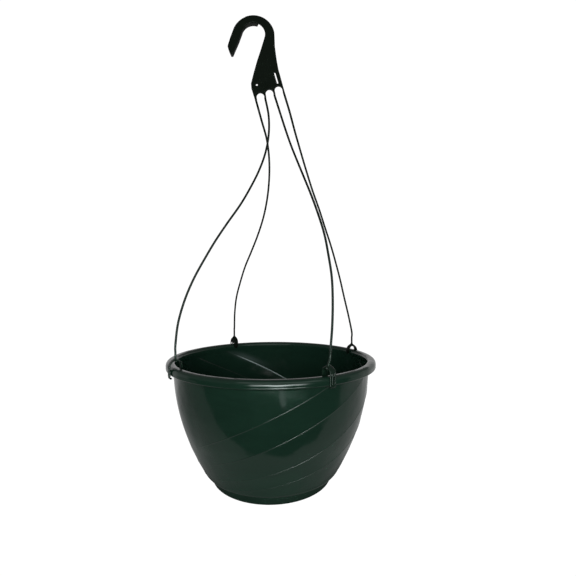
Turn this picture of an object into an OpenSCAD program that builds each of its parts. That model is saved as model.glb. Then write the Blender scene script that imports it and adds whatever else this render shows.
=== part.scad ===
// Hanging basket: a swirl-moulded plastic pot with a snap-on drip saucer and a four-strand clip-on hanger.
// Millimetres, +Z up. The origin is the centre of the saucer's underside, which is where the basket stands.

/* [Pot] */
// Outer radius of the rolled rim
rim_r = 150.5; // [140:0.5:160]
// Height of the top of the rim above the ground
pot_h = 172; // [160:1:180]
// Half the width of the roll that forms the rim
roll_w = 6.5; // [6:0.25:7]
// Half the height of the roll
roll_r = 6; // [5:0.5:7]
// Wall thickness of the pot
wall = 2; // [1.6:0.1:2.6]
// Outer radius of the wall at its top, inside the roll
wall_top_r = 140.6; // [140:0.1:141]
// How much the wall curves in from its top to the ground
belly = 52.5; // [50:0.5:54]
// Radius of the drainage holes in the pot's floor
drain_r = 4; // [3:0.5:5]
// Number of drainage holes
drain_count = 8; // [4:1:12]

/* [Saucer] */
// Outer radius of the saucer
saucer_r = 86.4; // [84:0.1:88]
// Height of the saucer's wall
saucer_h = 10; // [9.5:0.5:11]
// Wall thickness of the saucer
saucer_wall = 1.8; // [1.6:0.1:2]

/* [Hook head] */
// Tilt of the head to the left as it stands slack, in degrees
head_lean = 16; // [0:1:25]
// Thickness of the head's plate
plate_t = 3; // [2.5:0.5:4]
// Thickness of the hook's free arm, which is flush with the plate in front
arm_t = 9; // [7:0.5:11]
// Inner radius of the hook
hook_r = 17.5; // [16:0.5:18]
// Radius of the round hole for a label tie
tag_r = 1.9; // [1.5:0.1:2.2]

/* [Strands and clips] */
// Diameter of a strand
strand_d = 3; // [2.4:0.1:3.4]
// Spacing of the strands where they leave the head
strand_pitch = 14.3; // [13:0.1:15]
// Width of a clip along the rim
clip_w = 8.5; // [7.5:0.5:10]
// Thickness of a clip's legs
clip_t = 1.8; // [1.6:0.1:2.2]

/* [Hidden] */

POT_GREEN = "#1d3a2c";
HANGER_GREEN = "#16261c";

roll_c = rim_r - roll_w;                // radius of the roll's own centre line
roll_z = pot_h - roll_r;                // height of the roll's centre line
mouth_r = roll_c - roll_w;              // clear radius of the pot's mouth

// Base of the pot, from the ground up
saucer_floor = 2;
floor_top = 8;
floor_t = 2;
fillet_r = 12;                          // round from the wall into the pot's underside
fillet_top_z = 18;
ring_r = saucer_r - saucer_wall - 0.5;  // base ring, inside the saucer
ring_neck_r = ring_r - 1;               // the narrower neck that the saucer's lip grips
neck_z = 7.4;
drain_ring_r = 62;

// Outer radius of the pot's wall at height z
function wall_r(z) = wall_top_r - belly * pow((roll_z - z) / roll_z, 2);

// Points on an arc, from angle a0 to a1, in n steps
function arc(cx, cy, r, a0, a1, n) =
    [for (i = [0:n]) let (a = a0 + (a1 - a0) * i / n) [cx + r * cos(a), cy + r * sin(a)]];

// Point on the roll's rounded outline at parameter angle a, inset from its skin
function roll_point(inset, a) = [
    roll_c + (roll_w - inset) * sign(cos(a)) * pow(abs(cos(a)), 0.78),
    roll_z + (roll_r - inset) * sign(sin(a)) * pow(abs(sin(a)), 0.78)];

// Clip angles round the rim, from the front (-Y) towards the right (+X)
FRONT_RIGHT = 30.4;
BACK_RIGHT = 116;
BACK_LEFT = -149;
FRONT_LEFT = -56;

// The head's own origin, at the foot of its plate, and its outline's main points
head_x = -3.9;
head_z = 569.3;
root_end = -10;                         // where the plate's fingers hand over to the strands
finger_mid = -2.3;                      // middle of the four fingers
hook_x = -1;                            // centre of the hook's inner round
hook_z = 84.8;
back_x = -1.8;                          // centre of the hook's outer round
back_z = 80.8;
back_r = 32.1;
arm_angle = 147;                        // where the rounds end and the free arm runs on straight
arm_in_r = hook_r + 0.4;                // the arm stands back a little, so the plate carries the rod

// Strand routes, from the head down to the clips
ROUTE_BACK_LEFT = [[-24, 0, 553], [-16, 1, 524], [-8, 7, 496], [-5, 17, 468], [-6, 29, 440],
    [-10, 41, 413], [-17, 55, 387], [-27, 68, 361], [-39, 81, 335], [-51, 93, 310],
    [-61, 105, 283], [-69, 114, 256], [-73, 121, 228], [-74, 123.5, 200.4]];
ROUTE_FRONT_LEFT = [[-10.3, 0, 556.5], [-5, -1, 529], [-4.8, -3, 500], [-9.5, -8, 471],
    [-18.3, -15, 443], [-30.2, -22, 416], [-43.2, -31, 390], [-59.3, -39, 364], [-74.3, -48, 338],
    [-87.4, -57, 312], [-100.3, -64, 285], [-110.3, -71, 257], [-117, -77, 228], [-119.4, -80.5, 200.4]];
ROUTE_FRONT_RIGHT = [[3.5, 0, 560.5], [12, -2, 533], [20, -10, 505], [28, -20, 478], [37, -31, 451],
    [46, -44, 424], [55, -56, 397], [63, -68, 370], [70, -80, 342], [74, -92, 314],
    [77, -102, 286], [77, -112, 257], [75.4, -120, 228], [72.9, -124.2, 200.4]];
ROUTE_BACK_RIGHT = [[17.4, 0, 564.5], [26, 0, 536], [34, 2, 507], [43, 7, 478], [52, 14, 451],
    [62, 22, 423], [73, 31, 396], [83, 40, 369], [93, 48, 342], [102, 55, 314],
    [110, 60, 286], [117, 63, 257], [124, 64, 228], [129.5, 63, 200.4]];

// Unit vector along v
function unit(v) = v / norm(v);

// Direction of a route at its point i
function heading(route, i) = unit(route[min(i + 1, len(route) - 1)] - route[max(i - 1, 0)]);

// An eight-sided tube of diameter d along a route
module tube(route, d, sides = 8) {
    rings = len(route);
    side_dir = [0, 1, 0];
    points = [for (i = [0:rings - 1])
        let (t = heading(route, i), u = unit(cross(side_dir, t)), v = cross(t, u))
            for (k = [0:sides - 1]) let (a = 360 * (k + 0.5) / sides)
                route[i] + d / 2 * (u * cos(a) + v * sin(a))];
    walls = [for (i = [0:rings - 2], k = [0:sides - 1])
        let (n = (k + 1) % sides)
            [i * sides + k, i * sides + n, (i + 1) * sides + n, (i + 1) * sides + k]];
    first = [for (k = [sides - 1:-1:0]) k];
    last = [for (k = [0:sides - 1]) (rings - 1) * sides + k];
    polyhedron(concat(points), concat([first], [for (w = walls) [w[0], w[1], w[2], w[3]]], [last]));
}

// The pot: curved wall, rolled rim, base ring and a drained floor
module bowl() {
    lean = atan((wall_r(fillet_top_z + 3) - wall_r(fillet_top_z)) / 3);
    fillet_x = wall_r(fillet_top_z) - fillet_r * cos(lean);
    fillet_z = fillet_top_z + fillet_r * sin(lean);
    under_z = fillet_z - fillet_r;
    step = (roll_z - fillet_top_z) / 18;
    outer = [for (z = [fillet_top_z + step:step:roll_z - 8]) [wall_r(z), z]];
    inner = [for (i = [len(outer) - 1:-1:0]) outer[i] - [wall, 0]];
    roll_in = [for (a = [160:-11:-60]) roll_point(wall - 0.2, a)];
    roll_out = [for (a = [-60:10:180]) roll_point(0, a)];
    color(POT_GREEN) difference() {
        rotate_extrude($fn = 128) polygon(concat(
            [[0, floor_top - floor_t], [ring_r - 3, floor_top - floor_t], [ring_r - 3, saucer_floor],
                [ring_r, saucer_floor], [ring_r, neck_z - 0.8], [ring_neck_r, neck_z], [ring_neck_r, under_z]],
            arc(fillet_x, fillet_z, fillet_r, -90, -lean, 6),
            outer,
            [[wall_r(roll_z - 5), roll_z - 5]],
            roll_in,
            roll_out,
            [[mouth_r + 0.2, roll_z - 4]],
            inner,
            [[fillet_x + 3, under_z + wall], [ring_neck_r - wall, under_z + wall],
                [ring_neck_r - wall, floor_top], [0, floor_top]]));
        for (i = [0:drain_count - 1]) rotate([0, 0, i * 360 / drain_count])
            translate([drain_ring_r, 0, floor_top - floor_t - 1])
                cylinder(r = drain_r, h = floor_t + 2, $fn = 32);
    }
}

// The saucer: a shallow dish whose rounded lip snaps round the pot's base ring
module drip_saucer() {
    lip_r = saucer_wall / 2;
    color(POT_GREEN) rotate_extrude($fn = 128) polygon(concat(
        [[0, 0]],
        arc(saucer_r - 0.8, 0.8, 0.8, -90, 0, 5),
        arc(saucer_r - lip_r, saucer_h - lip_r, lip_r, 0, 90, 5),
        [[ring_neck_r + 0.4, saucer_h], [ring_neck_r + 0.3, neck_z + 0.9],
            [saucer_r - saucer_wall, neck_z + 0.2], [saucer_r - saucer_wall, saucer_floor], [0, saucer_floor]]));
}

// One rounded gap between two of the head's fingers, centred on x, with its top at height top
module finger_gap(x, top) {
    gap_r = (strand_pitch - strand_d) / 2;
    skew = 0.5;
    translate([x + skew, top - gap_r]) circle(r = gap_r, $fn = 48);
    polygon([[x + skew - gap_r, top - gap_r], [x - gap_r, root_end - 5], [x + gap_r, root_end - 5],
        [x + skew + gap_r, top - gap_r]]);
}

// Outline of the head's thin plate and the hook's back, up to the crown
module plate_outline() {
    edge = finger_mid + 1.5 * strand_pitch + strand_d / 2;
    left_edge = finger_mid - 1.5 * strand_pitch - strand_d / 2;
    difference() {
        polygon(concat(
            [[edge, root_end], [edge, 0], [20.8, 10], [20.9, 24], [22.3, 38], [25.2, 58], [28.2, 70]],
            arc(back_x, back_z, back_r, -4, 96, 20),
            arc(hook_x, hook_z, hook_r - 2, 96, -34, 20),
            [[9.6, 68.5], [2, 56.9], [-6, 45.3], [-15.8, 29.5], [-24.2, 15], [-25.6, 8], [-25.4, 0],
                [left_edge, root_end]]));
        translate([hook_x, hook_z]) circle(r = hook_r, $fn = 96);
        finger_gap(finger_mid - strand_pitch, -1.9);
        finger_gap(finger_mid, -0.8);
        finger_gap(finger_mid + strand_pitch, 0.3);
        translate([-16.3, 10.9]) circle(r = tag_r, $fn = 32);
        for (z = [4.8, 20.4]) translate([14.2, z]) circle(r = 1.2, $fn = 24);
        translate([13, 4.8]) square([2.4, 15.6]);
    }
}

// Outline of the hook's thicker free arm, from the crown to the pointed tip
module arm_outline() {
    difference() {
        polygon(concat(
            arc(back_x, back_z, back_r, 64, arm_angle, 16),
            [[-41.5, 78.4], [-40.5, 66.6], [-38.6, 65], [-37, 65.4], [-33.2, 70]],
            arc(hook_x, hook_z, arm_in_r - 0.01, arm_angle, 64, 16)));
        translate([hook_x, hook_z]) circle(r = arm_in_r, $fn = 96);
    }
}

// The head: a flat plate with four fingers, running up into the hook
module hook_head() {
    color(HANGER_GREEN) translate([head_x, 0, head_z]) rotate([0, -head_lean, 0]) rotate([90, 0, 0]) {
        linear_extrude(height = plate_t, center = true) plate_outline();
        translate([0, 0, plate_t / 2 - arm_t]) linear_extrude(height = arm_t) arm_outline();
    }
}

module strand_back_left() { color(HANGER_GREEN) tube(ROUTE_BACK_LEFT, strand_d); }
module strand_front_left() { color(HANGER_GREEN) tube(ROUTE_FRONT_LEFT, strand_d); }
module strand_front_right() { color(HANGER_GREEN) tube(ROUTE_FRONT_RIGHT, strand_d); }
module strand_back_right() { color(HANGER_GREEN) tube(ROUTE_BACK_RIGHT, strand_d); }

// Side profile of a clip: x outwards from the centre of the rim's roll, y up. The outer leg ends in a
// barb that turns back up under the roll.
module clip_side() {
    gap = roll_w + 0.5;
    apex = 9.5;
    crown = 17;
    foot_z = -roll_r - 4.4;
    polygon([[1.4, crown], [2.2, apex + 3.3], [gap + clip_t, 6.4], [gap + clip_t, foot_z + 1.5],
        [gap + clip_t - 1.5, foot_z], [gap - 2.4, foot_z], [gap - 3.4, foot_z + 1],
        [gap - 3.4, foot_z + 3], [gap - 2, foot_z + 3], [gap - 2, foot_z + 1.6], [gap - 0.6, foot_z + 1.6],
        [gap, foot_z + 2.2], [gap, 5.2], [0, apex], [-gap, 5.2], [-gap, 0.8], [-gap - clip_t, 0.8],
        [-gap - clip_t, 6.4], [-2.2, apex + 3.3], [-1.4, crown]]);
}

// Front outline of a clip: a spade with a rounded foot, x along the rim, y up
module clip_front() {
    hw = clip_w / 2;
    foot_z = -roll_r - 4.5;
    polygon([[-1.4, 17.1], [1.4, 17.1], [2.2, 13.5], [hw - 0.8, 9.8], [hw, 6.8], [hw, foot_z + 2.5],
        [hw - 2.5, foot_z], [2.5 - hw, foot_z], [-hw, foot_z + 2.5], [-hw, 6.8], [0.8 - hw, 9.8],
        [-2.2, 13.5]]);
}

// A clip that straddles the rim's roll, at an angle round the rim
module clip(angle) {
    slot = 1.2;
    color(HANGER_GREEN) rotate([0, 0, angle - 90]) translate([roll_c, 0, roll_z]) {
        difference() {
            intersection() {
                rotate([90, 0, 0]) linear_extrude(height = clip_w, center = true) clip_side();
                rotate([90, 0, 90]) linear_extrude(height = 30, center = true) clip_front();
            }
            // the outer leg's two long slots
            for (y = [-1.9, 1.9]) translate([roll_w, y - slot / 2, -5]) cube([5, slot, 10]);
        }
        translate([0, 0, 16.9]) cylinder(r1 = 1.6, r2 = strand_d / 2, h = 17.1, $fn = 24);
    }
}

module clip_back_left() { clip(BACK_LEFT); }
module clip_front_left() { clip(FRONT_LEFT); }
module clip_front_right() { clip(FRONT_RIGHT); }
module clip_back_right() { clip(BACK_RIGHT); }

bowl();
drip_saucer();
hook_head();
strand_back_left();
strand_front_left();
strand_front_right();
strand_back_right();
clip_back_left();
clip_front_left();
clip_front_right();
clip_back_right();
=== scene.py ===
"""A dark green nursery hanging basket, standing slack on a pale studio floor.

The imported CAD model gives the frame. Every visible piece is made here in mesh code, in metres, where the
frame has its node: pot, saucer, hook head, four strands and four rim clips.
"""
from math import atan2, cos, degrees, exp, pi, radians, sin

import bmesh
import bpy
from mathutils import Matrix, Vector


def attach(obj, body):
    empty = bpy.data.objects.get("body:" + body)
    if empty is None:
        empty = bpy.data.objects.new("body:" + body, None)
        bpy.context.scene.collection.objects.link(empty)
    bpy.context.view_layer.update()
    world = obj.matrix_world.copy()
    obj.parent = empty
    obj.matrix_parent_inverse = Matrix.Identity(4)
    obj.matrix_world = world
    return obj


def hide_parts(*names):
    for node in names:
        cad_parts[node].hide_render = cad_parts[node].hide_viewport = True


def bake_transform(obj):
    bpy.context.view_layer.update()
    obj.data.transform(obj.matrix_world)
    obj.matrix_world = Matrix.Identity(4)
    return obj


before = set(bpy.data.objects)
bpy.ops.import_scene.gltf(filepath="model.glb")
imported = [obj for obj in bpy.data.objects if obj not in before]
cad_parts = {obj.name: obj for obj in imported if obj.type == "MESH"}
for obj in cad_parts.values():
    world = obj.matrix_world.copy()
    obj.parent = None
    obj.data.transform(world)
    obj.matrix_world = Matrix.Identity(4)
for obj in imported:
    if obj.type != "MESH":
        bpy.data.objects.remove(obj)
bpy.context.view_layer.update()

MM = 0.001

# ---------------------------------------------------------------- sizes
# The pot and saucer have the CAD model's sizes, in metres
RIM_R = 150.5 * MM
POT_H = 172 * MM
ROLL_W = 6.5 * MM
ROLL_R = 6 * MM
WALL = 2 * MM
WALL_TOP_R = 140.6 * MM
BELLY = 52.5 * MM
ROLL_C = RIM_R - ROLL_W
ROLL_Z = POT_H - ROLL_R
MOUTH_R = ROLL_C - ROLL_W

SAUCER_R = 86.4 * MM
SAUCER_H = 10 * MM
SAUCER_WALL = 1.8 * MM
SAUCER_FLOOR = 2 * MM
FLOOR_TOP = 8 * MM
FLOOR_T = 2 * MM
FILLET_R = 12 * MM
FILLET_TOP_Z = 18 * MM
RING_R = SAUCER_R - SAUCER_WALL - 0.5 * MM
RING_T = 3 * MM
RING_FOOT_Z = SAUCER_FLOOR + 0.05 * MM
RING_NECK_R = RING_R - 1 * MM
NECK_Z = 7.4 * MM
DRAIN_R = 4 * MM
DRAIN_RING_R = 62 * MM
DRAIN_COUNT = 8
AXIS_R = 0.5 * MM                       # where a turned outline stops short of the axis

# The head's numbers are millimetres in its own plane
HEAD_LEAN = radians(16)
HEAD_AT = Vector((-3.9, 0, 569.3)) * MM
PLATE_T = 3
ARM_T = 9
PLATE_BEVEL = 0.6
ARM_BEVEL = 1.3
ARM_INSET = 0.1                         # how far the arm's front stands behind the plate's where they overlap
TAG_R = 1.65                            # this hole and the slit are a little smaller than the CAD model's
SLIT_R = 1.0
STRAND_D = 3 * MM
STRAND_PITCH = 14.3
FINGER_MID = -2.3
ROOT_END = -10
GAP_R = (STRAND_PITCH - 3) / 2
GAP_SKEW = 0.5                          # how far the gaps between the fingers lean to the right at their tops
BACK = (-1.8, 80.8, 32.1)               # the hook's outer round: centre and radius
PLATE_ROUND = (-1, 85, 17.8)            # its inner round, on the plate
ARM_ROUND = (-1, 84.6, 17.2)            # and on the free arm
ARM_FROM = 48                           # the arm's rounds run from here to ARM_TO, in degrees
ARM_RAMP = (53, 60)                     # where the arm thickens backwards, in degrees round the crown
ARM_FLUSH = (88, 96)                    # where its front comes forward, level with the plate's
ARM_TO = 147

# The strands thicken a little towards the head, by this share over this length
SWELL = 0.08
SWELL_RUN = 0.12
LINE_STEPS = 6                          # steps between two points of a smooth line

# The clips: angles round the pot in degrees, and otherwise millimetres from the roll's centre
CLIP_ANGLES = {"back_left": -149, "front_left": -56, "front_right": 30.4, "back_right": 116}
CLIP_LIFT = {"back_left": 3.5, "front_left": 3, "front_right": 3}   # these ride a little higher on the roll
CLIP_SHIFT = {"front_right": -2.3}      # and this one's fork sits a little to the left of its strand
CLIP_FOOT = {"front_right": 1.3}        # and has a shorter outer leg
CLIP_WEB = {"back_left": 7.2}           # the web between this one's legs reaches down to the roll
SLOT_Y = 1.7
SLOT_W = 1.1
NECK_BEND = 25                          # height above the roll's centre where the neck stands upright
LEG_X = 7.8                             # the outer leg
SHOULDER_W = 7.6
LEG_FLARE = 0.9
LEG_W = SHOULDER_W + LEG_FLARE
RAIL_W = 2
RAIL_T = 1.4
RAIL_Y = SLOT_Y + (SLOT_W + RAIL_W) / 2

# The strands' routes, from the head down to the clips, in millimetres
ROUTES = {
    "back_left": [(-24, 0, 553), (-16, 1, 524), (-8, 7, 496), (-5, 17, 468), (-6, 29, 440), (-10, 41, 413),
                  (-17, 55, 387), (-27, 68, 361), (-39, 81, 335), (-51, 93, 310), (-61, 105, 283),
                  (-69, 114, 256), (-73, 121, 228), (-74, 123.5, 200.4)],
    "front_left": [(-10.3, 0, 556.5), (-5, -1, 529), (-4.8, -3, 500), (-9.5, -8, 471), (-18.3, -15, 443),
                   (-30.2, -22, 416), (-43.2, -31, 390), (-59.3, -39, 364), (-74.3, -48, 338),
                   (-87.4, -57, 312), (-100.3, -64, 285), (-110.3, -71, 257), (-117, -77, 228),
                   (-119.4, -80.5, 200.4)],
    "front_right": [(3.5, 0, 560.5), (12, -2, 533), (20, -10, 505), (28, -20, 478), (37, -31, 451),
                    (46, -44, 424), (55, -56, 397), (63, -68, 370), (70, -80, 342), (74, -92, 314),
                    (77, -102, 286), (77, -112, 257), (75.4, -120, 228), (72.9, -124.2, 200.4)],
    "back_right": [(17.4, 0, 564.5), (26, 0, 536), (34, 2, 507), (43, 7, 478), (52, 14, 451), (62, 22, 423),
                   (73, 31, 396), (83, 40, 369), (93, 48, 342), (102, 55, 314), (110, 60, 286),
                   (117, 63, 257), (124, 64, 228), (129.5, 63, 200.4)],
}


# ---------------------------------------------------------------- helpers
def arc(cx, cy, r, a0, a1, n):
    """Points on an arc, in degrees, from a0 to a1 in n steps."""
    return [(cx + r * cos(radians(a0 + (a1 - a0) * i / n)), cy + r * sin(radians(a0 + (a1 - a0) * i / n)))
            for i in range(n + 1)]


def smooth(t):
    """An eased step from 0 to 1."""
    t = min(1.0, max(0.0, t))
    return t * t * (3 - 2 * t)


def mesh_piece(name, verts, faces, material, smooth_angle=35):
    """A new mesh object with its normals made consistent, shaded smooth below an angle."""
    mesh = bpy.data.meshes.new(name)
    mesh.from_pydata(verts, [], faces)
    return finish_mesh(name, mesh, material, smooth_angle)


def finish_mesh(name, mesh, material, smooth_angle):
    """Makes an object of a mesh, welded, with sharp edges above the smooth angle."""
    obj = bpy.data.objects.new(name, mesh)
    bpy.context.collection.objects.link(obj)
    bm = bmesh.new()
    bm.from_mesh(mesh)
    bmesh.ops.remove_doubles(bm, verts=bm.verts, dist=1e-6)
    bmesh.ops.recalc_face_normals(bm, faces=bm.faces)
    for f in bm.faces:
        f.smooth = True
    for e in bm.edges:
        e.smooth = not (len(e.link_faces) == 2 and degrees(e.calc_face_angle(0.0)) > smooth_angle)
    bm.to_mesh(mesh)
    bm.free()
    mesh.materials.append(material)
    return obj


def catmull(points, steps):
    """A smooth line through points, with steps between each two."""
    pts = [Vector(p) for p in points]
    pts = [2 * pts[0] - pts[1], *pts, 2 * pts[-1] - pts[-2]]
    line = []
    for a, b, c, d in zip(pts, pts[1:], pts[2:], pts[3:]):
        for k in range(steps):
            t = k / steps
            line.append(0.5 * (2 * b + (c - a) * t + (2 * a - 5 * b + 4 * c - d) * t * t
                               + (3 * b - a - 3 * c + d) * t ** 3))
    return [*line, pts[-2]]


def ring_faces(rings, sides):
    """The faces between rings of points, with a cap on the first and the last ring."""
    faces = []
    for i in range(rings - 1):
        for k in range(sides):
            j = (k + 1) % sides
            faces.append((i * sides + k, i * sides + j, (i + 1) * sides + j, (i + 1) * sides + k))
    return [*faces, tuple(range(sides - 1, -1, -1)), tuple(range((rings - 1) * sides, rings * sides))]


def sweep(line, half_sizes, sides, up=Vector((0, 1, 0)), power=2.0):
    """Rings of a superellipse along a line. half_sizes(i) gives the half widths across and along up."""
    verts = []
    for i, p in enumerate(line):
        t = (line[min(i + 1, len(line) - 1)] - line[max(i - 1, 0)]).normalized()
        across = up.cross(t).normalized()
        along = t.cross(across).normalized()
        wa, wb = half_sizes(i)
        for k in range(sides):
            a = 2 * pi * (k + 0.5) / sides
            ca, sa = cos(a), sin(a)
            scale = (abs(ca) ** power + abs(sa) ** power) ** (-1 / power)
            verts.append(p + across * (wa * scale * ca) + along * (wb * scale * sa))
    return verts, ring_faces(len(line), sides)


# ---------------------------------------------------------------- shader helpers
def map_range(tree, source, low, high, a, b):
    """A node that maps low..high to a..b and holds the ends."""
    node = tree.nodes.new("ShaderNodeMapRange")
    for key, value in (("From Min", low), ("From Max", high), ("To Min", a), ("To Max", b)):
        node.inputs[key].default_value = value
    tree.links.new(source, node.inputs["Value"])
    return node.outputs["Result"]


def math_node(tree, operation, a, b):
    node = tree.nodes.new("ShaderNodeMath")
    node.operation = operation
    tree.links.new(a, node.inputs[0])
    tree.links.new(b, node.inputs[1])
    return node.outputs[0]


def split_axes(tree, vector):
    """The X, Y and Z outputs of a vector."""
    node = tree.nodes.new("ShaderNodeSeparateXYZ")
    tree.links.new(vector, node.inputs[0])
    return node.outputs


def object_axes(tree):
    """The object's own coordinates, whole and split into axes."""
    point = tree.nodes.new("ShaderNodeTexCoord").outputs["Object"]
    return point, split_axes(tree, point)


# ---------------------------------------------------------------- materials
class Nodes:
    """A material whose textures all run on the object's own coordinates."""

    def __init__(self, name):
        self.mat = bpy.data.materials.new(name)
        self.mat.use_nodes = True
        self.tree = self.mat.node_tree
        self.bsdf = self.tree.nodes["Principled BSDF"]
        self.coord = self.tree.nodes.new("ShaderNodeTexCoord")

    def link(self, source, target):
        self.tree.links.new(source, target)

    def stretch(self, scale):
        """Object coordinates scaled differently along each axis."""
        node = self.tree.nodes.new("ShaderNodeMapping")
        node.inputs["Scale"].default_value = scale
        self.link(self.coord.outputs["Object"], node.inputs["Vector"])
        return node.outputs["Vector"]

    def noise(self, scale, detail, roughness=0.55, vector=None, distortion=0.0):
        node = self.tree.nodes.new("ShaderNodeTexNoise")
        node.inputs["Scale"].default_value = scale
        node.inputs["Detail"].default_value = detail
        node.inputs["Roughness"].default_value = roughness
        node.inputs["Distortion"].default_value = distortion
        self.link(vector or self.coord.outputs["Object"], node.inputs["Vector"])
        return node.outputs["Fac"]

    def attribute(self, name):
        node = self.tree.nodes.new("ShaderNodeAttribute")
        node.attribute_name = name
        return node.outputs["Fac"]

    def ramp(self, source, low, high, a, b):
        return map_range(self.tree, source, low, high, a, b)

    def mix(self, factor, a, b):
        """Blend of two colours, each a colour or another node's output."""
        node = self.tree.nodes.new("ShaderNodeMix")
        node.data_type = "RGBA"
        self.link(factor, node.inputs[0])
        for socket, value in ((node.inputs[6], a), (node.inputs[7], b)):
            if isinstance(value, tuple):
                socket.default_value = (*value, 1)
            else:
                self.link(value, socket)
        return node.outputs[2]

    def bump(self, height, distance, before=None):
        node = self.tree.nodes.new("ShaderNodeBump")
        node.inputs["Distance"].default_value = distance
        self.link(height, node.inputs["Height"])
        if before:
            self.link(before, node.inputs["Normal"])
        return node.outputs["Normal"]


PLASTIC_IOR = 1.49
# the pale colour of a painted highlight along one crease inside the pot
PAINTED_HIGHLIGHT_COLOR = (0.70, 0.86, 0.86)
PAINTED_LIGHT_HEIGHTS = (0.20, 0.42)                  # heights in metres between which a strand turns to its low colour, a painted light that makes it paler near the pot


def plastic(name, color, deep, dust_and_ridge_sheen, rough, sheen, waves, peel, dust_amount=0.1, wear_and_sheen=0.0, low=None):
    """Moulded polypropylene: uneven gloss, faint flow marks, sink waves, orange peel and a little dust.

    waves and peel are (size, height) in metres; low is a paler colour painted towards the bottom of a strand,
    painted light where it catches more light near the pot. With wear, the mesh's attributes turn it paler
    along the ridge lines, partly wear and partly a painted highlight of the ridges, paint a pale highlight
    along one crease inside, and take its gloss off the roll's underside as painted shade."""
    n = Nodes(name)
    n.bsdf.inputs["IOR"].default_value = PLASTIC_IOR
    n.bsdf.inputs["Specular IOR Level"].default_value = sheen
    flow = n.ramp(n.noise(14, 5, 0.6, n.stretch((1, 1, 2.6)), 0.6), 0.38, 0.64, 0, 1)
    specks = n.ramp(n.noise(150, 7, 0.75), 0.56, 0.74, 0, dust_amount)
    skin = n.mix(specks, n.mix(flow, deep, color), dust_and_ridge_sheen)
    # painted light: a strand turns paler towards its bottom, where it catches more light near the pot
    if low:
        height = split_axes(n.tree, n.coord.outputs["Object"])["Z"]
        skin = n.mix(n.ramp(height, *PAINTED_LIGHT_HEIGHTS, 1, 0), skin, low)
    # paler ridge lines, partly wear and partly a painted highlight; a painted highlight along one crease
    # inside; painted shade as gloss taken off under the roll
    if wear_and_sheen:
        marks = n.ramp(n.attribute("wear_and_sheen"), 0.05, 0.8, 0, wear_and_sheen)
        skin = n.mix(marks, skin, dust_and_ridge_sheen)
        skin = n.mix(n.ramp(n.attribute("inner_highlight"), 0, 1, 0, 1), skin, PAINTED_HIGHLIGHT_COLOR)
        n.link(n.ramp(n.attribute("under"), 0, 1, sheen, 0), n.bsdf.inputs["Specular IOR Level"])
    n.link(skin, n.bsdf.inputs["Base Color"])
    n.link(n.ramp(n.noise(30, 6, 0.65), 0.3, 0.72, rough * 0.8, rough * 1.35), n.bsdf.inputs["Roughness"])
    normal = n.bump(n.noise(1 / waves[0], 1.5, 0.4), waves[1])
    n.link(n.bump(n.noise(1 / peel[0], 2), peel[1], normal), n.bsdf.inputs["Normal"])
    return n.mat


def glow(name, color, strength):
    """An evenly lit stage surface."""
    mat = bpy.data.materials.new(name)
    mat.use_nodes = True
    bsdf = mat.node_tree.nodes["Principled BSDF"]
    bsdf.inputs["Base Color"].default_value = (0, 0, 0, 1)
    bsdf.inputs["Specular IOR Level"].default_value = 0
    bsdf.inputs["Emission Color"].default_value = (*color, 1)
    bsdf.inputs["Emission Strength"].default_value = strength
    return mat


POT_MAT = plastic("pot_green", (0.0150, 0.0480, 0.0305), (0.0128, 0.0410, 0.0262), (0.06, 0.075, 0.068),
                  rough=0.12, sheen=0.30, waves=(0.026, 0.0010), peel=(0.0035, 0.00003), wear_and_sheen=0.35)
SAUCER_MAT = plastic("saucer_green", (0.0105, 0.0340, 0.0215), (0.0085, 0.0280, 0.0175), (0.05, 0.06, 0.055),
                     rough=0.17, sheen=0.30, waves=(0.028, 0.0005), peel=(0.0030, 0.00004))
HANGER_MAT = plastic("hanger_green", (0.0068, 0.0120, 0.0072), (0.0050, 0.0092, 0.0054), (0.03, 0.035, 0.03),
                     rough=0.24, sheen=0.14, waves=(0.020, 0.00012), peel=(0.0011, 0.00001))
# the front clips' green, paler than the back clips', which take the strands' darker green: painted light
CLIP_MAT = plastic("clip_green", (0.0095, 0.0280, 0.0170), (0.0075, 0.0220, 0.0135), (0.04, 0.05, 0.045),
                   rough=0.28, sheen=0.22, waves=(0.012, 0.00005), peel=(0.0011, 0.00001))


def strand_plastic(name, sheen, low=None):
    return plastic(name, (0.0075, 0.0140, 0.0090), (0.0060, 0.0110, 0.0070), (0.03, 0.035, 0.03), rough=0.30,
                   sheen=sheen, waves=(0.030, 0.00003), peel=(0.0011, 0.000006), dust_amount=0.06, low=low)


# the front strands' copy is glossier and paler towards the bottom than the back strands': painted light on
# copies of one material
STRAND_MAT = strand_plastic("strand_green", 0.07)
FRONT_STRAND_MAT = strand_plastic("front_strand_green", 0.22, (0.020, 0.038, 0.029))


# ---------------------------------------------------------------- camera
def make_camera():
    """The photograph's camera: level, a little above the pot's rim and to the right of its axis."""
    cam = bpy.data.objects.new("camera", bpy.data.cameras.new("camera"))
    bpy.context.collection.objects.link(cam)
    cam.data.sensor_width = 36
    cam.data.lens = 23.17
    cam.data.clip_start = 0.01
    cam.data.shift_x = -0.0006
    cam.data.shift_y = 0.0006
    cam.location = (0.0243, -0.5521, 0.2725)
    cam.rotation_euler = (radians(90), 0, 0)
    bpy.context.scene.camera = cam


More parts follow.
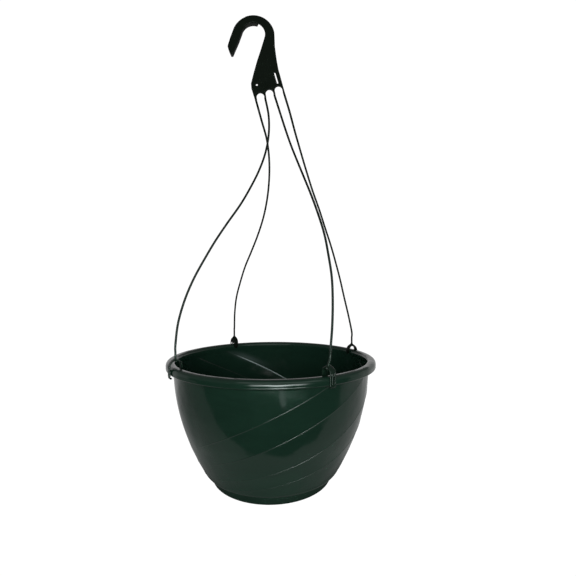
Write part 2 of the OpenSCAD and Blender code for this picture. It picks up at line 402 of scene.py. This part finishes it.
# ---------------------------------------------------------------- strands: the cords of the hanger
def make_strand(side):
    """A springy moulded strand, which thickens a little into the head's finger at its top."""
    route = [Vector(p) * MM for p in ROUTES[side]]
    # a point below the end, in the clip's neck, sets the end's slope
    below = Vector((route[-1].x, route[-1].y, ROLL_Z + NECK_BEND * MM))
    line = catmull([*route, below], LINE_STEPS)[:-LINE_STEPS]
    lengths = [0.0]
    for a, b in zip(line, line[1:]):
        lengths.append(lengths[-1] + (b - a).length)

    def half(i):
        r = STRAND_D / 2 * (1 + SWELL * (1 - smooth(lengths[i] / SWELL_RUN)))
        return r, r

    verts, faces = sweep(line, half, sides=16)
    # the front strands take the glossier, paler copy: painted light
    material = FRONT_STRAND_MAT if "front" in side else STRAND_MAT
    obj = mesh_piece(f"strand_{side}", verts, faces, material, 60)
    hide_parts(f"strand_{side}")
    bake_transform(obj)


# ---------------------------------------------------------------- pot
HIGHLIGHT_LINE = 222.5                      # the swirl line along which a pale highlight is painted inside the pot
HIGHLIGHT_W = 0.72                          # its width, in degrees
# Swirl lines: the angle in degrees where each meets the roll, and the shares of the wall's depth where it
# starts and ends
SWIRL_LINES = [(37, -0.1, 0.60), (68.5, -0.1, 0.74), (109, -0.1, 0.90), (144.5, 0.28, 0.95),
               (HIGHLIGHT_LINE, -0.1, 0.7), (250.5, -0.1, 0.7)]
SWIRL_TURN = 141                        # degrees that a line turns evenly from the roll to the foot
SWIRL_CURL = 107                        # and the degrees it turns besides, nearly all near the foot
RIDGE_H = 0.27 * MM
RIDGE_W = radians(0.36)
FLUTE = 0.3 * MM
FLUTE_W = radians(18)
BEAD_H = 0.45 * MM                      # a fine bead low on the roll's outer face
BEAD_W = 0.95 * MM
BEAD_DROP = 3.4 * MM
ROLL_SQUARE = 0.78                      # 1 makes the roll's outline an ellipse, and less makes it squarer
ROLL_EDGE = -48                         # degrees round the outline where the roll's edge ends
WALL_ROWS = 56
WALL_END_Z = ROLL_Z - 6.5 * MM
WALL_JOIN_Z = ROLL_Z - 5 * MM           # where the outer face runs in under the roll


def wall_r(z):
    """The outer face's radius at a height."""
    return WALL_TOP_R - BELLY * ((ROLL_Z - z) / ROLL_Z) ** 2


def roll_point(inset, a):
    """A point on the roll's rounded outline, inset from its skin, at parameter angle a in degrees."""
    c, s = cos(radians(a)), sin(radians(a))
    x = (ROLL_W - inset) * (1 if c >= 0 else -1) * abs(c) ** ROLL_SQUARE
    z = (ROLL_R - inset) * (1 if s >= 0 else -1) * abs(s) ** ROLL_SQUARE
    if x > 0 and inset == 0:
        x += BEAD_H * exp(-((z + BEAD_DROP) / BEAD_W) ** 2)
    return ROLL_C + x, ROLL_Z + z


def swirl_turn(z):
    """How far a swirl line has turned from the roll down to height z, in radians."""
    u = min(1.0, max(0.0, (ROLL_Z - z) / ROLL_Z))
    return radians(SWIRL_TURN * u + SWIRL_CURL * u ** 6)


def turn_between(angle, line):
    """How far an angle in radians is from a line in degrees, in radians from -pi to pi."""
    return (angle - radians(line) + pi) % (2 * pi) - pi


def nearest_line(angle):
    """The offset from the nearest swirl line, in radians, with that line's start and end."""
    found = []
    for top, start, end in SWIRL_LINES:
        offset = turn_between(angle, top)
        found.append((abs(offset), offset, start, end))
    return min(found)[1:]


def line_strength(angle, z):
    """How strongly the ridge of the nearest swirl line shows at an angle (untwisted) and height."""
    offset, start, end = nearest_line(angle)
    u = (ROLL_Z - z) / ROLL_Z
    shown = smooth((u - start) / 0.06) * smooth((end - u) / 0.12)
    return shown * exp(-(offset / RIDGE_W) ** 2)


def relief(angle, z):
    """Height of the ridges and of the shallow flutes between them."""
    offset = nearest_line(angle)[0]
    dip = 1 - (1 - min(1.0, abs(offset) / FLUTE_W)) ** 2
    return RIDGE_H * line_strength(angle, z) + FLUTE * (0.5 - dip)


def swirl_columns():
    """Angles round the pot, close together at each ridge line."""
    near = [0, 0.12, 0.25, 0.4, 0.6, 0.85, 1.2, 1.8]
    columns = [top + side * a for top, _, _ in SWIRL_LINES for a in near for side in (-1, 1)]
    columns += [a for a in range(0, 360, 3) if abs(degrees(nearest_line(radians(a))[0])) > 2.4]
    return sorted({radians(a % 360) for a in columns})


def make_bowl():
    """The pot as one shell: its wall's columns follow the swirl, so the ridges stay crisp."""
    columns = swirl_columns()
    lean = atan2(wall_r(FILLET_TOP_Z + 3 * MM) - wall_r(FILLET_TOP_Z), 3 * MM)
    fx = wall_r(FILLET_TOP_Z) - FILLET_R * cos(lean)
    fz = FILLET_TOP_Z + FILLET_R * sin(lean)
    under = fz - FILLET_R
    zs = [FILLET_TOP_Z + (WALL_END_Z - FILLET_TOP_Z) * i / WALL_ROWS for i in range(WALL_ROWS + 1)]

    # profile rows: radius, height, share of the swirl's relief, height that sets the twist
    floor_z = FLOOR_TOP - FLOOR_T
    foot = [(AXIS_R, floor_z), (RING_R - RING_T, floor_z), (RING_R - RING_T, RING_FOOT_Z),
            (RING_R, RING_FOOT_Z), (RING_R, NECK_Z - 0.8 * MM), (RING_NECK_R, NECK_Z), (RING_NECK_R, under)]
    profile = [(r, z, 0, 0.0) for r, z in foot]
    for x, z in arc(fx, fz, FILLET_R, -90, -degrees(lean), 8)[:-1]:
        profile.append((x, z, smooth((z - under) / (3 * MM)) * 0.8, FILLET_TOP_Z))
    for z in zs:
        profile.append((wall_r(z), z, smooth((WALL_JOIN_Z - z) / (1.5 * MM)), z))
    profile.append((wall_r(WALL_JOIN_Z), WALL_JOIN_Z, 0, ROLL_Z))
    profile += [(*roll_point(WALL - 0.2 * MM, a), 0, ROLL_Z) for a in range(160, ROLL_EDGE - 1, -8)]
    profile += [(*roll_point(0, a), 0, ROLL_Z) for a in range(ROLL_EDGE, 181, 4)]
    profile.append((MOUTH_R + 0.3 * MM, ROLL_Z - 4 * MM, 0, ROLL_Z))
    for z in reversed(zs[2:]):
        profile.append((wall_r(z) - WALL, z, smooth((ROLL_Z - 4.5 * MM - z) / (4 * MM)), z))
    profile += [(fx + 3 * MM, under + WALL, 0, FILLET_TOP_Z), (RING_NECK_R - WALL, under + WALL, 0, 0.0),
                (RING_NECK_R - WALL, FLOOR_TOP, 0, 0.0), (AXIS_R, FLOOR_TOP, 0, 0.0)]

    verts = []
    for r, z, share, twist_z in profile:
        twist = swirl_turn(twist_z)
        for c in columns:
            a = c - twist
            rr = r + share * relief(c, z)
            verts.append((rr * sin(a), -rr * cos(a), z))
    faces = ring_faces(len(profile), len(columns))
    obj = mesh_piece("bowl_shell", verts, faces, POT_MAT, 32)
    cut_drains(obj)
    mark_wear_and_painted_light(obj)
    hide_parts("bowl")
    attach(obj, "pot")


def mark_wear_and_painted_light(obj):
    """Stores three shares at each point, for the pot's material.

    The first is how much it stands on a ridge line, which the material paints paler: partly wear, partly a
    painted highlight of the ridges. The second is a painted highlight: the pale line along one crease inside,
    with a soft painted reflection beside its top. The third is the roll's underside, whose gloss the material
    takes off as painted shade."""
    wear_and_sheen = [0.0] * len(obj.data.vertices)
    inner_highlight, under = list(wear_and_sheen), list(wear_and_sheen)
    for i, v in enumerate(obj.data.vertices):
        x, y, z = v.co
        r = (x * x + y * y) ** 0.5
        if r > ROLL_C:
            # painted shade: the roll's underside, where the material takes the gloss off
            under[i] = smooth((ROLL_Z - z - 3.9 * MM) / (0.5 * MM))
        elif FILLET_TOP_Z < z < ROLL_Z - 4.4 * MM:
            angle = atan2(x, -y) + swirl_turn(z)
            # how much it stands on a ridge line, painted paler: partly wear, partly a painted highlight
            wear_and_sheen[i] = line_strength(angle, z)
            # a painted highlight along that line's crease inside, with a soft painted reflection beside its
            # top
            if r < wall_r(z) - WALL / 2:
                off = degrees(turn_between(angle, HIGHLIGHT_LINE))
                depth = (ROLL_Z - z) / ROLL_Z
                line = exp(-(off / HIGHLIGHT_W) ** 2) * smooth((depth - 0.07) / 0.1) * smooth((0.5 - depth) / 0.2)
                patch = exp(-((off + 3) / 5) ** 2) * exp(-((depth - 0.13) / 0.07) ** 2)
                inner_highlight[i] = 0.95 * line + 0.10 * patch
    for name, values in (("wear_and_sheen", wear_and_sheen), ("inner_highlight", inner_highlight), ("under", under)):
        obj.data.attributes.new(name, "FLOAT", "POINT").data.foreach_set("value", values)


def cut_drains(obj):
    """Round drainage holes through the floor."""
    cutters = []
    for k in range(DRAIN_COUNT):
        a = 2 * pi * k / DRAIN_COUNT
        bpy.ops.mesh.primitive_cylinder_add(vertices=32, radius=DRAIN_R, depth=4 * FLOOR_T, location=(
            DRAIN_RING_R * cos(a), DRAIN_RING_R * sin(a), FLOOR_TOP - FLOOR_T / 2))
        cutters.append(bpy.context.object)
    bpy.ops.object.select_all(action="DESELECT")
    for c in cutters:
        c.select_set(True)
    bpy.context.view_layer.objects.active = cutters[0]
    bpy.ops.object.join()
    subtract(obj, bpy.context.object)


def subtract(obj, tool):
    """Cuts the tool out of an object and removes the tool."""
    mod = obj.modifiers.new("cut", "BOOLEAN")
    mod.operation = "DIFFERENCE"
    mod.solver = "EXACT"
    mod.object = tool
    bpy.context.view_layer.objects.active = obj
    bpy.ops.object.modifier_apply(modifier=mod.name)
    bpy.data.objects.remove(tool)


def revolve(name, profile, material, columns=144):
    """A closed outline turned about Z; the outline starts and ends near the axis."""
    verts = []
    for r, z in profile:
        for k in range(columns):
            a = 2 * pi * k / columns
            verts.append((r * cos(a), r * sin(a), z))
    return mesh_piece(name, verts, ring_faces(len(profile), columns), material)


def make_saucer():
    """The drip saucer, whose lip closes in over the pot's base ring."""
    lip = SAUCER_WALL / 2
    foot = 0.8 * MM
    profile = [(AXIS_R, 0.0)]
    profile += arc(SAUCER_R - foot, foot, foot, -90, 0, 6)
    profile += arc(SAUCER_R - lip, SAUCER_H - lip, lip, 0, 100, 8)
    profile += [(RING_NECK_R + 0.4 * MM, SAUCER_H - 0.1 * MM), (RING_NECK_R + 0.3 * MM, NECK_Z + 0.9 * MM),
                (SAUCER_R - SAUCER_WALL, NECK_Z + 0.2 * MM), (SAUCER_R - SAUCER_WALL, SAUCER_FLOOR),
                (AXIS_R, SAUCER_FLOOR)]
    obj = revolve("saucer_dish", profile, SAUCER_MAT)
    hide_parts("drip_saucer")
    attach(obj, "pot")


# ---------------------------------------------------------------- hook head
def head_matrix():
    """From the head's own plane (x right, y up, in millimetres) to the frame, in metres."""
    return (Matrix.Translation(HEAD_AT) @ Matrix.Rotation(-HEAD_LEAN, 4, "Y")
            @ Matrix.Rotation(pi / 2, 4, "X") @ Matrix.Scale(MM, 4))


def filled_curve(name, loops, thick, bevel):
    """A flat shape with holes, given thickness and rounded edges."""
    curve = bpy.data.curves.new(name, "CURVE")
    curve.dimensions = "2D"
    curve.fill_mode = "BOTH"
    curve.extrude = thick / 2 - bevel
    curve.bevel_depth = bevel
    curve.bevel_resolution = 3
    curve.offset = -bevel
    for loop in loops:
        spline = curve.splines.new("POLY")
        spline.points.add(len(loop) - 1)
        for p, (x, y) in zip(spline.points, loop):
            p.co = (x, y, 0, 1)
        spline.use_cyclic_u = True
    obj = bpy.data.objects.new(name, curve)
    bpy.context.collection.objects.link(obj)
    bpy.context.view_layer.update()
    graph = bpy.context.evaluated_depsgraph_get()
    mesh = bpy.data.meshes.new_from_object(obj.evaluated_get(graph))
    bpy.data.objects.remove(obj)
    bpy.data.curves.remove(curve)
    return mesh


def finger_gap(x, top):
    """The edge of the round-topped gap between two fingers, from its left foot to its right foot."""
    lead = 5                            # how far below the fingers' ends the gap's lean starts
    foot = GAP_SKEW * lead / (top - GAP_R - ROOT_END + lead)
    return [(x + foot - GAP_R, ROOT_END), *arc(x + GAP_SKEW, top - GAP_R, GAP_R, 180, 0, 16),
            (x + foot + GAP_R, ROOT_END)]


def plate_loops():
    """The plate's outline with its finger gaps, and its round hole and slit."""
    reach = 1.5 * STRAND_PITCH + STRAND_D / MM / 2
    outline = []
    for i, top in ((-1, -1.9), (0, -0.8), (1, 0.3)):
        outline += finger_gap(FINGER_MID + i * STRAND_PITCH, top)
    right = FINGER_MID + reach
    outline += [(right, ROOT_END), (right, 0), (20.8, 10), (20.9, 24), (22.3, 38), (25.2, 58), (28.2, 70)]
    outline += arc(*BACK, -4, 96, 30)
    outline += arc(*PLATE_ROUND, 96, -34, 30)
    outline += [(9.6, 68.5), (2, 56.9), (-6, 45.3), (-15.8, 29.5), (-24.2, 15), (-25.6, 8), (-25.4, 0),
                (FINGER_MID - reach, ROOT_END)]
    hole = arc(-16.3, 10.9, TAG_R, 0, 345, 23)
    slit = arc(14.2, 20.4, SLIT_R, 0, 180, 8) + arc(14.2, 4.8, SLIT_R, 180, 360, 8)
    return [outline, hole, slit]


def arm_loop():
    """The free arm's outline, from the crown round to its blunt pointed tip."""
    outline = arc(*BACK, ARM_FROM, ARM_TO, 40)
    outline += [(-34.3, 90.8), (-39.2, 83.5), (-42.4, 78.4), (-42.1, 73), (-41.3, 66.6), (-40.6, 65.5),
                (-39.4, 65), (-37.8, 65.4), (-34.1, 70), (-29.5, 75.6), (-24.2, 82)]
    outline += arc(*ARM_ROUND, ARM_TO, ARM_FROM, 40)
    return outline


def make_head():
    """The hook's head: a flat plate, and the free arm that carries on from its crown."""
    mesh = filled_curve("head_plate", plate_loops(), PLATE_T, PLATE_BEVEL)
    mesh.transform(head_matrix())
    plate = finish_mesh("head_plate", mesh, HANGER_MAT, 40)
    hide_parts("hook_head")
    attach(plate, "head")

    # the arm starts inside the plate and thickens backwards from the crown
    mesh = filled_curve("hook_arm", [arm_loop()], ARM_T, ARM_BEVEL)
    thin = (PLATE_T - 2 * ARM_INSET) / ARM_T
    for v in mesh.vertices:
        angle = degrees(atan2(v.co.y - BACK[1], v.co.x - BACK[0])) % 360
        ramp = smooth((angle - ARM_RAMP[0]) / (ARM_RAMP[1] - ARM_RAMP[0]))
        flush = smooth((angle - ARM_FLUSH[0]) / (ARM_FLUSH[1] - ARM_FLUSH[0]))
        front = PLATE_T / 2 - ARM_INSET * (1 - flush)
        v.co.z = front - (ARM_T / 2 - v.co.z) * (thin + (1 - thin) * ramp)
    mesh.transform(head_matrix())
    arm = finish_mesh("hook_arm", mesh, HANGER_MAT, 40)
    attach(arm, "head")


# ---------------------------------------------------------------- clips
BAND_POWER = 3.2                        # 2 makes a band's section an ellipse, and more makes it squarer


class Shell:
    """Collects closed sweeps into one mesh."""

    def __init__(self):
        self.verts = []
        self.faces = []

    def add(self, verts, faces):
        base = len(self.verts)
        self.verts += verts
        self.faces += [tuple(i + base for i in f) for f in faces]

    def band(self, path, width, thick, y):
        """A flat band along a side-view path of (x, z) points.

        width and thick are functions of the share of its length run."""
        self.along(catmull([(x, y, z) for x, z in path], LINE_STEPS), width, thick, BAND_POWER)

    def along(self, line, width, thick, power):
        """A band along any line."""
        last = len(line) - 1
        self.add(*sweep(line, lambda i: (thick(i / last) / 2, width(i / last) / 2), sides=20, power=power))


def blunt(s, length):
    """Rounds a band off over the last share of its run."""
    t = max(0.0, (s - 1 + length) / length)
    return (1 - t * t) ** 0.5 * 0.75 + 0.25


def make_clip(side):
    """A saddle clip: the strand's neck forks into a padded inner leg and a slotted outer leg with a barb."""
    up = CLIP_LIFT.get(side, 0)
    shift = CLIP_SHIFT.get(side, 0)
    foot = CLIP_FOOT.get(side, 0)
    box = 1 if side == "front_right" else 0             # its shoulders are squarer than the others
    web = CLIP_WEB.get(side, 11 + up)
    crown = 13.8 + up
    place = (Matrix.Rotation(radians(CLIP_ANGLES[side]) - pi / 2, 4, "Z")
             @ Matrix.Translation((ROLL_C, 0, ROLL_Z)) @ Matrix.Scale(MM, 4))
    fork = Shell()
    # the neck: round above, where it carries the strand's curve on, then flaring along the rim into the fork
    before = place.inverted() @ (Vector(ROUTES[side][-2]) * MM)
    neck = [before, Vector((0, 0, 34.4)), Vector((0, shift / 3, NECK_BEND)),
            *(Vector((0, shift, z)) for z in (17 + up, 13.6 + up, web))]
    fork.along(catmull(neck, LINE_STEPS)[LINE_STEPS:], lambda s: 2.9 + 5.4 * smooth((s - 0.48) / 0.4),
               lambda s: 2.9 - 0.3 * s, 2.2)
    # the inner leg, a blunt pad
    inner = [(0.2, crown), (-2.4 - 0.2 * box, 12.2 + 0.5 * box + up),
             (-5.2 - 0.2 * box, 10.2 + 0.8 * box + up), (-7.2, 7.2 + 0.8 * box + up), (-7.9, 3.6),
             (-7.8, -1.0)]
    fork.band(inner, lambda s: (SHOULDER_W + LEG_FLARE * smooth(s / 0.3)) * blunt(s, 0.34),
              lambda s: 2.3 - 0.5 * s, shift)
    # the outer leg: a solid shoulder, three rails with two slots between them, and a solid foot with its barb
    shoulder = [(-0.2, crown), (2.4 + 0.2 * box, 12.2 + 0.5 * box + up),
                (5.2 + 0.2 * box, 10.2 + 0.9 * box + up), (7.1 + 0.1 * box, 7.4 + 1.6 * box + up),
                (LEG_X, 4.6 + 1.8 * box + up)]
    fork.band(shoulder, lambda s: SHOULDER_W + LEG_FLARE * smooth(s / 0.5),
              lambda s: 2.3 - 0.9 * smooth(s * 1.3), shift)
    rail = [(LEG_X, 5.4 + 2 * box + up), (LEG_X, -4.6 + foot)]
    for y, wide in ((-RAIL_Y, RAIL_W), (0, 2 * (SLOT_Y - SLOT_W / 2)), (RAIL_Y, RAIL_W)):
        fork.band(rail, lambda s: wide, lambda s: RAIL_T, y + shift)
    barb = [(LEG_X + x, z + foot) for x, z in ((0, -3.8), (0, -6), (-0.6, -7.3), (-1.8, -7.7), (-2.9, -7.2))]
    fork.band(barb, lambda s: LEG_W - 2.4 * smooth((s - 0.3) / 0.7), lambda s: RAIL_T - 0.2 * s, shift)
    # painted light: the front clips take a paler green than the back ones, copies of one part
    material = CLIP_MAT if "front" in side else STRAND_MAT
    verts = [place @ Vector(v) for v in fork.verts]
    return mesh_piece(f"clip_body_{side}", verts, fork.faces, material, 50)


def make_clips():
    """The four clips, whose necks curve from the strand down into the clip."""
    for side in CLIP_ANGLES:
        obj = make_clip(side)
        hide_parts(f"clip_{side}")
        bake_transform(obj)


# ---------------------------------------------------------------- stage
STAGE_Z = -0.001                        # the floor and the table lie just under the saucer
WHITE = (1, 1, 1)
SHELL_LIGHT = 1.05
TABLE_LIGHT = 0.40
REFLECTOR_LIGHT = 22


def stage_piece(name, verts, faces, color, strength, camera=False, diffuse=False, glossy=True,
                transmission=False):
    """A lit piece of the set that is seen only by the kinds of ray it names.

    Its strength is 0 where a node sets it afterwards."""
    mesh = bpy.data.meshes.new(name)
    mesh.from_pydata(verts, [], faces)
    mesh.materials.append(glow(name, color, strength))
    obj = bpy.data.objects.new(name, mesh)
    bpy.context.collection.objects.link(obj)
    obj.visible_camera = camera
    obj.visible_diffuse = diffuse
    obj.visible_glossy = glossy
    obj.visible_transmission = transmission
    obj.visible_shadow = False
    return mesh


def card(name, corners, color, strength, **seen_by):
    """One lit flat card."""
    return stage_piece(name, corners, [tuple(range(len(corners)))], color, strength, **seen_by)


def level(x0, x1, y0, y1):
    """Corners of a level rectangle at the height of the stage."""
    return [(x0, y0, STAGE_Z), (x1, y0, STAGE_Z), (x1, y1, STAGE_Z), (x0, y1, STAGE_Z)]


def upright(x0, y0, x1, y1, low, high):
    """Corners of an upright rectangle over the line from x0, y0 to x1, y1."""
    return [(x0, y0, low), (x1, y1, low), (x1, y1, high), (x0, y0, high)]


def set_strength(tree, source):
    tree.links.new(source, tree.nodes["Principled BSDF"].inputs["Emission Strength"])


def shade_table(mesh, light):
    """Dims the table near the pot's foot, which the pot shades, and at its front left; brightens its back."""
    tree = mesh.materials[0].node_tree
    point, axes = object_axes(tree)
    length = tree.nodes.new("ShaderNodeVectorMath")
    length.operation = "LENGTH"
    tree.links.new(point, length.inputs[0])
    near = map_range(tree, length.outputs["Value"], 0.088, 0.16, 0.11, light)
    right = map_range(tree, axes["X"], -0.35, 0, 0, 1)
    back = map_range(tree, axes["Y"], 0, 0.3, 0, 1)
    side = map_range(tree, math_node(tree, "MAXIMUM", right, back), 0, 1, 0.58, 1)
    far = map_range(tree, axes["Y"], 0.1, 0.5, 1, 1.5)
    set_strength(tree, math_node(tree, "MULTIPLY", math_node(tree, "MULTIPLY", near, side), far))


def fade_ends(mesh, light):
    """Lets a card's light fade towards its left and right ends."""
    tree = mesh.materials[0].node_tree
    x = object_axes(tree)[1]["X"]
    left = map_range(tree, x, -0.5, 0.05, 0, 1)
    right = map_range(tree, x, 0.25, 0.95, light, 0)
    set_strength(tree, math_node(tree, "MULTIPLY", left, right))


def make_sweep():
    """The pale paper that curves round behind the table, as the plastic reflects it."""
    radius, height, steps = 0.95, 0.50, 24
    verts, faces = [], []
    for i in range(steps + 1):
        a = radians(-8 + 196 * i / steps)
        verts += [(radius * cos(a), radius * sin(a), 0), (radius * cos(a), radius * sin(a), height)]
    for i in range(steps):
        faces.append((2 * i, 2 * i + 2, 2 * i + 3, 2 * i + 1))
    mesh = stage_piece("sweep", verts, faces, WHITE, 0, diffuse=True, transmission=True)
    tree = mesh.materials[0].node_tree
    set_strength(tree, map_range(tree, object_axes(tree)[1]["Y"], 0, 0.75, 0.42, 0.62))


def make_dome():
    """A white studio shell, seen only by the camera."""
    bpy.ops.mesh.primitive_uv_sphere_add(segments=48, ring_count=24, radius=8)
    obj = bpy.context.object
    obj.name = "dome"
    obj.data.materials.append(glow("dome", WHITE, SHELL_LIGHT))
    obj.visible_diffuse = False
    obj.visible_glossy = False
    obj.visible_transmission = False
    obj.visible_shadow = False


def make_world():
    """Dim room light above the table and darkness below it, for reflections only."""
    world = bpy.data.worlds.new("studio")
    world.use_nodes = True
    tree = world.node_tree
    height = split_axes(tree, tree.nodes.new("ShaderNodeTexCoord").outputs["Generated"])["Z"]
    tree.links.new(map_range(tree, height, -0.1, 0.1, 0.02, 0.2), tree.nodes["Background"].inputs["Strength"])
    tree.nodes["Background"].inputs["Color"].default_value = (1, 1, 1, 1)
    world.cycles_visibility.diffuse = False
    bpy.context.scene.world = world


def make_stage():
    """The set, and one lamp that reflections don't show."""
    make_dome()
    card("floor", level(-6, 6, -6, 6), WHITE, SHELL_LIGHT, camera=True, glossy=False)
    # the white table's front edge runs just in front of the pot
    edge = [(-0.9, -0.24, STAGE_Z), (0.9, -0.096, STAGE_Z)]
    table = card("table", [*edge, (0.9, 0.95, STAGE_Z), (-0.9, 0.95, STAGE_Z)], WHITE, 0, diffuse=True)
    shade_table(table, TABLE_LIGHT)
    make_sweep()
    reflector = card("reflector", upright(-0.5, -1.3, 0.95, -1.1, -0.14, 0.12), (0.93, 1, 1), 0)
    fade_ends(reflector, REFLECTOR_LIGHT)
    card("haze", upright(-0.45, -1.3, 0.85, -1.1, 0.10, 0.42), WHITE, 1.5)
    card("overhead", [(-0.25, -0.47, 0.36), (0.5, -0.47, 0.36), (0.5, -0.42, 0.64), (-0.25, -0.42, 0.64)],
         (0.95, 1, 1), 1.5)
    card("strip", [(0.071, -0.411, -0.002), (0.105, -0.411, -0.002), (0.191, -0.681, -0.002),
                   (0.123, -0.681, -0.002)], (0.9, 1, 1), 1.7)
    make_world()
    light = bpy.data.lights.new("fill", "AREA")
    light.energy = 14
    light.shape = "RECTANGLE"
    light.size, light.size_y = 1.2, 0.8
    lamp = bpy.data.objects.new("fill", light)
    lamp.location = (0.1, -1.6, 0.45)
    lamp.rotation_euler = (Vector((0, 0, 0.2)) - lamp.location).to_track_quat("-Z", "Y").to_euler()
    lamp.visible_glossy = False
    bpy.context.collection.objects.link(lamp)
    bpy.context.scene.view_settings.view_transform = "Standard"


make_camera()
for side in ROUTES:
    make_strand(side)
make_bowl()
make_saucer()
make_head()
make_clips()
make_stage()
